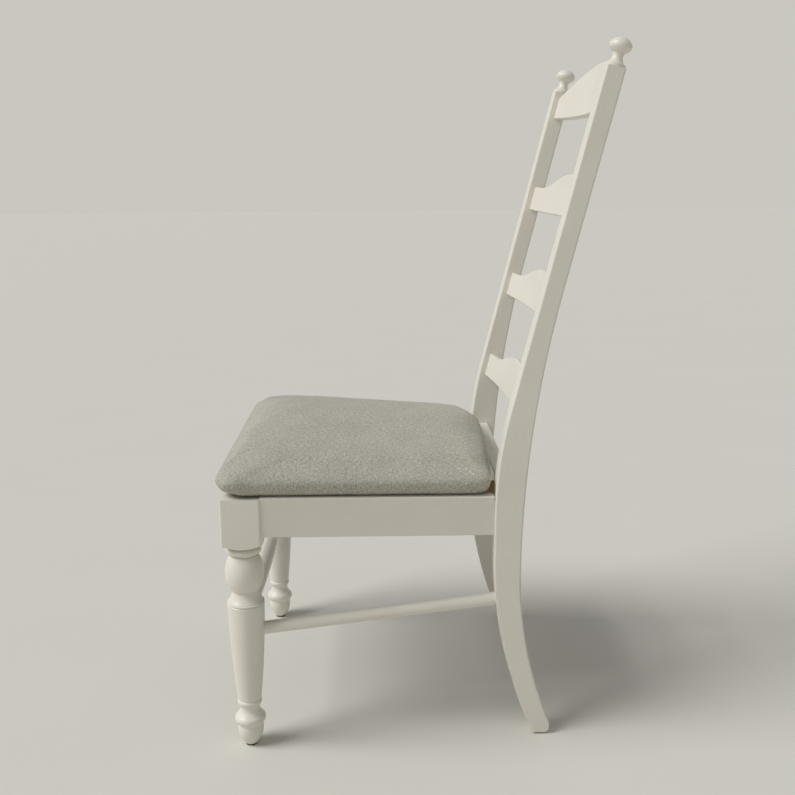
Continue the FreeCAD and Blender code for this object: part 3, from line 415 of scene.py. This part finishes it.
def heathered_cloth(name):
    """Plain-woven polyester and linen blend: each yarn is spun from light and dark fibres, which
    gives flecks along both thread directions and a matt face with a little fuzz at grazing angles.
    The threads are 0.9 mm apart on the real cloth, and are drawn 1.7 mm apart so that they show."""
    thread, fleck_long, fleck_wide, cloud_size = 1.7 * MM, 5.5 * MM, 1.7 * MM, 45 * MM
    made, tree = new_material(name)
    uv = add(tree, "ShaderNodeUVMap", uv_map="threads").outputs[0]
    ends = add(tree, "ShaderNodeMapping", {"Vector": uv, "Scale": (1 / thread, 1 / thread, 1)})
    check = add(tree, "ShaderNodeTexChecker", {"Vector": ends.outputs[0], "Scale": 1})
    apart = add(tree, "ShaderNodeSeparateXYZ", {"Vector": ends.outputs[0]})
    ridges = []
    for axis in (0, 1):
        turn = add(tree, "ShaderNodeMath", {0: apart.outputs[axis], 1: math.pi}, operation="MULTIPLY")
        wave = add(tree, "ShaderNodeMath", {0: turn.outputs[0]}, operation="SINE")
        ridges.append(add(tree, "ShaderNodeMath", {0: wave.outputs[0]}, operation="ABSOLUTE"))
    over = add(tree, "ShaderNodeMix", {
        "Factor": check.outputs["Fac"], "A": ridges[0].outputs[0], "B": ridges[1].outputs[0]})
    flecks = []
    for scale in ((1 / fleck_long, 1 / fleck_wide, 1), (1 / fleck_wide, 1 / fleck_long, 1)):
        drawn = add(tree, "ShaderNodeMapping", {"Vector": uv, "Scale": scale})
        flecks.append(add(tree, "ShaderNodeTexNoise", {
            "Vector": drawn.outputs[0], "Scale": 1, "Detail": 3, "Roughness": 0.65}))
    fleck = add(tree, "ShaderNodeMix", {
        "Factor": check.outputs["Fac"], "A": flecks[0].outputs[0], "B": flecks[1].outputs[0]})
    both = add(tree, "ShaderNodeMath", {0: flecks[0].outputs[0], 1: flecks[1].outputs[0]}, operation="ADD")
    half = add(tree, "ShaderNodeMath", {0: both.outputs[0], 1: 0.5}, operation="MULTIPLY")
    blend = add(tree, "ShaderNodeMix", {
        "Factor": 0.5, "A": fleck.outputs[0], "B": half.outputs[0]})
    shades = add(tree, "ShaderNodeValToRGB", {"Fac": blend.outputs[0]})
    ramp = shades.color_ramp
    ramp.elements[0].position, ramp.elements[0].color = 0.36, linear("#928E84")
    ramp.elements[1].position, ramp.elements[1].color = 0.63, linear("#D2CEC2")
    middle = ramp.elements.new(0.5)
    middle.color = linear("#B6B2A6")
    cloud = add(tree, "ShaderNodeTexNoise", {"Vector": uv, "Scale": 1 / cloud_size, "Detail": 2})
    worn = add(tree, "ShaderNodeMapRange", {
        "Value": cloud.outputs[0], "From Min": 0.3, "From Max": 0.7, "To Min": 0.94, "To Max": 1.05})
    # Painted shade: the colour is dimmed where the threads dip between crossings, as shade in the weave's
    # hollows, and multiplied with the cloud's random tone.
    painted_valley_shade = add(tree, "ShaderNodeMapRange", {"Value": over.outputs[0], "To Min": 0.86, "To Max": 1.04})
    cloud_tone_and_valley_shade = add(tree, "ShaderNodeMath", {0: worn.outputs[0], 1: painted_valley_shade.outputs[0]}, operation="MULTIPLY")
    colour = add(tree, "ShaderNodeVectorMath", {0: shades.outputs[0], "Scale": cloud_tone_and_valley_shade.outputs[0]},
                 operation="SCALE")
    fuzz = add(tree, "ShaderNodeMath", {0: over.outputs[0], 1: fleck.outputs[0]}, operation="ADD")
    woven = add(tree, "ShaderNodeBump", {
        "Height": fuzz.outputs[0], "Strength": 0.5, "Distance": 0.35 * MM})
    rough = add(tree, "ShaderNodeMapRange", {"Value": fleck.outputs[0], "To Min": 0.86, "To Max": 0.97})
    shader = add(tree, "ShaderNodeBsdfPrincipled", {
        "Base Color": colour.outputs[0], "Roughness": rough.outputs[0], "Normal": woven.outputs[0],
        "Sheen Weight": 0.18, "Sheen Roughness": 0.5, "Specular IOR Level": 0.3})
    finish_material(tree, shader)
    return made


cushion.data.materials.clear()
cushion.data.materials.append(heathered_cloth("heathered_grey_plain_weave"))
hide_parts("seat_cover", "seat_foam")
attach(cushion, "root")


# Dust cover: thin black cloth of bonded fibres, cut smaller than the board and stapled under it.
# It sags a little in the middle and puckers along its edge, where the staples pull it.
def bonded_cloth(name):
    """Black non-woven polypropylene: matt, with loose fibres pressed in every direction."""
    fibre = 1.1 * MM
    made, tree = new_material(name)
    place = add(tree, "ShaderNodeTexCoord").outputs["Object"]
    fibres = add(tree, "ShaderNodeTexNoise", {
        "Vector": place, "Scale": 1 / fibre, "Detail": 5, "Distortion": 2.5})
    ramp = add(tree, "ShaderNodeValToRGB", {"Fac": fibres.outputs[0]})
    ramp.color_ramp.elements[0].position, ramp.color_ramp.elements[1].position = 0.35, 0.7
    ramp.color_ramp.elements[0].color = linear("#151517")
    ramp.color_ramp.elements[1].color = linear("#2E2E31")
    pressed = add(tree, "ShaderNodeBump", {
        "Height": fibres.outputs[0], "Strength": 0.4, "Distance": 0.2 * MM})
    shader = add(tree, "ShaderNodeBsdfPrincipled", {
        "Base Color": ramp.outputs[0], "Roughness": 0.85, "Normal": pressed.outputs[0]})
    finish_material(tree, shader)
    return made


SHEET_THICK, SHEET_SAG, PUCKER, CLEAR = 0.5 * MM, 1.6 * MM, 0.25 * MM, 0.02 * MM
FRONT_STRIP, REAR_STRIP = 30 * MM, 25 * MM
PUCKERS_ACROSS, PUCKERS_ALONG, RIM, SAG_FORM = 19, 17, 8, 4
WAVER, WAVERS = 0.012, 23
ACROSS, ALONG = 60, 46
edge = in_frame(to_seat, points_of(nodes["dust_cover"].data))
sheet_top = edge[:, 2].max() - CLEAR
y_front, y_rear = edge[:, 1].min(), edge[:, 1].max()
half_front = edge[edge[:, 1] < y_front + FRONT_STRIP, 0].max()
half_rear = edge[edge[:, 1] > y_rear - REAR_STRIP, 0].max()
sheet_form = bmesh.new()
rows = []
for step_y in range(ALONG + 1):
    v = 2 * step_y / ALONG - 1
    y = (y_front + y_rear) / 2 + v * (y_rear - y_front) / 2
    half = half_front + (half_rear - half_front) * (v + 1) / 2
    row = []
    for step_x in range(ACROSS + 1):
        u = 2 * step_x / ACROSS - 1
        rim = max(abs(u), abs(v)) ** RIM
        wave = PUCKER * rim * (1 + math.sin(u * PUCKERS_ACROSS) * math.cos(v * PUCKERS_ALONG))
        sag = SHEET_SAG * (1 - u**SAG_FORM) * (1 - v**SAG_FORM)
        x = half * u * (1 - WAVER * (1 - abs(u)) * math.sin(v * WAVERS))
        row.append(sheet_form.verts.new((x, y, sheet_top - SHEET_THICK / 2 - wave - sag)))
    rows.append(row)
for lower, upper in zip(rows, rows[1:]):
    for step_x in range(ACROSS):
        sheet_form.faces.new((lower[step_x], upper[step_x], upper[step_x + 1], lower[step_x + 1]))
sheet_form.transform(to_seat.inverted())
sheet_area = sum(face.calc_area() for face in sheet_form.faces)
sheet_mesh = mesh_from(sheet_form, "dust_cover_sheet")
dust_sheet = new_object("dust_cover_sheet", sheet_mesh)
for polygon in sheet_mesh.polygons:
    polygon.use_smooth = True
sheet_mesh.materials.append(bonded_cloth("black_bonded_cloth"))
wall = dust_sheet.modifiers.new("Solidify", "SOLIDIFY")
wall.thickness, wall.offset = SHEET_THICK, 0
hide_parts("dust_cover")
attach(dust_sheet, "root")


# Staples: square zinc-plated wire, driven through the cover's edge and the dust cover into the
# board. One bent wire is repeated at each place, lying along the nearest edge of the seat.
STAPLE_CROWN, STAPLE_WIRE, STAPLE_LEG, CROWN_FACE = 10 * MM, 0.8 * MM, 7 * MM, 0.1 * MM


def staple_places():
    """Where each staple's crown is, and the way it lies, from the CAD node's separate pieces."""
    wires = bmesh.new()
    wires.from_mesh(nodes["cover_staples"].data)
    bmesh.ops.remove_doubles(wires, verts=wires.verts, dist=SAME_PLACE)
    seen, places = set(), []
    for start in wires.verts:
        if start in seen:
            continue
        group, queue = [], [start]
        seen.add(start)
        while queue:
            vertex = queue.pop()
            group.append(vertex.co.copy())
            for edge in vertex.link_edges:
                other = edge.other_vert(vertex)
                if other not in seen:
                    seen.add(other)
                    queue.append(other)
        flat = in_frame(to_seat, np.array(group))
        crown = flat[flat[:, 2] < flat[:, 2].min() + CROWN_FACE]
        spread = crown - crown.mean(0)
        way = np.linalg.svd(spread, full_matrices=False)[2][0]
        places.append((crown.mean(0), math.atan2(way[1], way[0])))
    wires.free()
    return places


def staple_tree(material):
    """Places a bent wire on each point, turned by the point's own angle."""
    tree = bpy.data.node_groups.new("staples", "GeometryNodeTree")
    tree.interface.new_socket("Geometry", in_out="INPUT", socket_type="NodeSocketGeometry")
    for name in ("Crown", "Wire", "Leg"):
        tree.interface.new_socket(name, in_out="INPUT", socket_type="NodeSocketFloat")
    tree.interface.new_socket("Geometry", in_out="OUTPUT", socket_type="NodeSocketGeometry")
    given = add(tree, "NodeGroupInput").outputs
    size = add(tree, "ShaderNodeCombineXYZ", {0: given["Crown"], 1: given["Wire"], 2: given["Wire"]})
    crown = add(tree, "GeometryNodeMeshCube", {"Size": size.outputs[0]})
    leg_size = add(tree, "ShaderNodeCombineXYZ", {0: given["Wire"], 1: given["Wire"], 2: given["Leg"]})
    leg = add(tree, "GeometryNodeMeshCube", {"Size": leg_size.outputs[0]})
    room = add(tree, "ShaderNodeMath", {0: given["Crown"], 1: given["Wire"]}, operation="SUBTRACT")
    half = add(tree, "ShaderNodeMath", {0: room.outputs[0], 1: 0.5}, operation="MULTIPLY")
    other = add(tree, "ShaderNodeMath", {0: half.outputs[0], 1: -1}, operation="MULTIPLY")
    up = add(tree, "ShaderNodeMath", {0: given["Leg"], 1: 0.5}, operation="MULTIPLY")
    joined = add(tree, "GeometryNodeJoinGeometry")
    tree.links.new(crown.outputs["Mesh"], joined.inputs[0])
    for sideways in (half, other):
        shift = add(tree, "ShaderNodeCombineXYZ", {0: sideways.outputs[0], 2: up.outputs[0]})
        moved_leg = add(tree, "GeometryNodeTransform", {
            "Geometry": leg.outputs["Mesh"], "Translation": shift.outputs[0]})
        tree.links.new(moved_leg.outputs[0], joined.inputs[0])
    angle = add(tree, "GeometryNodeInputNamedAttribute", {"Name": "angle"}, data_type="FLOAT")
    turn = add(tree, "ShaderNodeCombineXYZ", {2: angle.outputs["Attribute"]})
    placed = add(tree, "GeometryNodeInstanceOnPoints", {
        "Points": given["Geometry"], "Instance": joined.outputs[0], "Rotation": turn.outputs[0]})
    real = add(tree, "GeometryNodeRealizeInstances", {"Geometry": placed.outputs[0]})
    coated = add(tree, "GeometryNodeSetMaterial", {"Geometry": real.outputs[0], "Material": material})
    add(tree, "NodeGroupOutput", {"Geometry": coated.outputs[0]})
    return tree


places = staple_places()
staple_mesh = bpy.data.meshes.new("bent_wire_staples")
staple_mesh.from_pydata([middle for middle, angle in places], [], [])
angles = staple_mesh.attributes.new("angle", "FLOAT", "POINT")
angles.data.foreach_set("value", [angle for middle, angle in places])
put_points(staple_mesh, points_of(staple_mesh) + np.array([0, 0, STAPLE_WIRE / 2]))
wire_staples = new_object("bent_wire_staples", staple_mesh)
repeat = wire_staples.modifiers.new("Staples", "NODES")
repeat.node_group = staple_tree(zinc)
staple_sizes = {"Crown": STAPLE_CROWN, "Wire": STAPLE_WIRE, "Leg": STAPLE_LEG}
for item in repeat.node_group.interface.items_tree:
    if item.name in staple_sizes:
        repeat[item.identifier] = staple_sizes[item.name]
take_shape(wire_staples)
wire_staples.data.transform(to_seat.inverted())
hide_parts("cover_staples")
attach(wire_staples, "root")


# Glides: small dark plastic discs with a nail, driven into the end grain under each foot, so that
# the chair slides and its paint isn't chipped.
def moulded_plastic(name):
    """Brown moulded nylon: dull, scuffed lighter where it slides on the floor."""
    scuff = 1.5 * MM
    made, tree = new_material(name)
    place = add(tree, "ShaderNodeTexCoord").outputs["Object"]
    marks = add(tree, "ShaderNodeTexNoise", {"Vector": place, "Scale": 1 / scuff, "Detail": 4})
    ramp = add(tree, "ShaderNodeValToRGB", {"Fac": marks.outputs[0]})
    ramp.color_ramp.elements[0].position, ramp.color_ramp.elements[1].position = 0.45, 0.75
    ramp.color_ramp.elements[0].color = linear("#3A3632")
    ramp.color_ramp.elements[1].color = linear("#5A544D")
    rough = add(tree, "ShaderNodeMapRange", {"Value": marks.outputs[0], "To Min": 0.4, "To Max": 0.65})
    scratched = add(tree, "ShaderNodeBump", {
        "Height": marks.outputs[0], "Strength": 0.2, "Distance": 0.1 * MM})
    shader = add(tree, "ShaderNodeBsdfPrincipled", {
        "Base Color": ramp.outputs[0], "Roughness": rough.outputs[0],
        "Normal": scratched.outputs[0], "IOR": 1.53})
    finish_material(tree, shader)
    return made


dress(moulded_plastic("scuffed_brown_nylon"),
      "front_glide_left", "front_glide_right", "rear_glide_left", "rear_glide_right")


# Studio: a plain pale floor that runs far back, one broad soft lamp high in front of the chair and
# a little to the camera's side, and an even sky. The sky lights less than it shows: it is a pale
# backdrop to the camera and in reflections, and a dimmer white light on everything else.
FLOOR_HALF, MOTTLES_PER_METRE = 30, 3
SKY_LIGHT, SKY_SHOWN = 0.31, 0.82
LAMP_FROM, LAMP_STRENGTH, LAMP_SPREAD = Vector((0.26, -1.0, 1.05)), 0.70 * math.pi, math.radians(32)

floor_form = bmesh.new()
bmesh.ops.create_grid(floor_form, x_segments=1, y_segments=1, size=FLOOR_HALF)
floor = new_object("studio_floor", mesh_from(floor_form, "studio_floor"))
floor_paper, paper_tree = new_material("pale_floor_paper")
place = add(paper_tree, "ShaderNodeTexCoord").outputs["Object"]
mottle = add(paper_tree, "ShaderNodeTexNoise", {
    "Vector": place, "Scale": MOTTLES_PER_METRE, "Detail": 2})
tint = add(paper_tree, "ShaderNodeMix", {
    "Factor": mottle.outputs[0], COLOUR_A: linear("#DBD8D0"), COLOUR_B: linear("#DEDBD3")},
    data_type="RGBA")
finish_material(paper_tree, add(paper_tree, "ShaderNodeBsdfPrincipled", {
    "Base Color": tint.outputs[MIXED_COLOUR], "Roughness": 0.8}))
floor.data.materials.append(floor_paper)

world = bpy.data.worlds.new("studio")
world.use_nodes = True
scene.world = world
sky_tree = world.node_tree
sky_tree.nodes.clear()
rays = add(sky_tree, "ShaderNodeLightPath")
seen_or_mirrored = add(sky_tree, "ShaderNodeMath", {
    0: rays.outputs["Is Camera Ray"], 1: rays.outputs["Is Glossy Ray"]}, operation="MAXIMUM")
seen = add(sky_tree, "ShaderNodeMath", {
    0: seen_or_mirrored.outputs[0], 1: rays.outputs["Is Transmission Ray"]}, operation="MAXIMUM")
lit = add(sky_tree, "ShaderNodeBackground", {"Color": linear("#FFFFFF"), "Strength": SKY_LIGHT})
shown = add(sky_tree, "ShaderNodeBackground", {"Color": linear("#DCD9D1"), "Strength": SKY_SHOWN})
either = add(sky_tree, "ShaderNodeMixShader", {
    0: seen.outputs[0], 1: lit.outputs[0], 2: shown.outputs[0]})
add(sky_tree, "ShaderNodeOutputWorld", {"Surface": either.outputs[0]})

lamp = bpy.data.lights.new("broad_lamp", "SUN")
lamp.energy, lamp.angle = LAMP_STRENGTH, LAMP_SPREAD
new_object("broad_lamp", lamp).rotation_euler = LAMP_FROM.to_track_quat("Z", "Y").to_euler()

scene.view_settings.view_transform = "Standard"


# Camera: placed by a fit to the frame's edges in the photograph. It stands to the sitter's left,
# 1.7 m from the chair's middle and 0.86 m up, and looks about 12 degrees down.
PHOTO_WIDTH, FOCAL_PIXELS, SENSOR = 795, 1015.8, 36
CAMERA_AT = (1.7002, -0.0590, 0.8638)
DOWN, AROUND, ROLL = math.radians(11.98), math.radians(-0.91), math.radians(-0.46)
sideways = Matrix(((0, 1, 0), (0, 0, -1), (-1, 0, 0)))
turn = (Matrix.Rotation(ROLL, 3, "Z") @ Matrix.Rotation(DOWN, 3, "X")
        @ Matrix.Rotation(AROUND, 3, "Y") @ sideways)
axes = Matrix((turn[0], -turn[1], -turn[2])).transposed()
camera_data = bpy.data.cameras.new("camera")
camera_data.sensor_width = SENSOR
camera_data.lens = SENSOR * FOCAL_PIXELS / PHOTO_WIDTH
camera = new_object("camera", camera_data)
camera.matrix_world = Matrix.Translation(CAMERA_AT) @ axes.to_4x4()
scene.camera = camera
